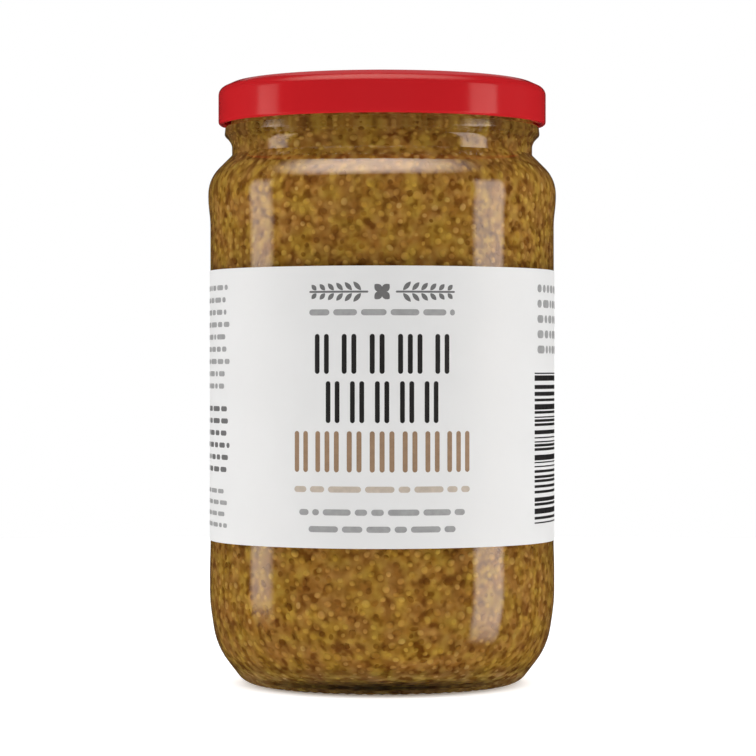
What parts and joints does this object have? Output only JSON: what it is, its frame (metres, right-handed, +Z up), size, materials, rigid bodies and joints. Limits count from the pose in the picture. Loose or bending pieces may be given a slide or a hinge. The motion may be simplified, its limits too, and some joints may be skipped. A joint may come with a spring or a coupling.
{
  "type": "mustard jar",
  "caption": "Sealed round glass jar of wholegrain mustard with a rounded heel, a necked shoulder, a low red twist-off metal lid and a white wrap-round paper label.",
  "frame": {"origin": "centre of the ring that the jar stands on", "axes": "+Z up along the jar's axis; -Y towards the front of the label, so +X is to the right of someone facing it"},
  "size_m": [0.0908, 0.0908, 0.1565],
  "materials": {
    "flint_glass": "polished",
    "lacquered_tinplate": "gloss",
    "label_paper": "satin",
    "wholegrain_mustard": "satin"
  },
  "bodies": {
    "root": {"jar_glass": "flint_glass", "lid": "lacquered_tinplate", "label": "label_paper", "mustard": "wholegrain_mustard"}
  },
  "joints": []
}
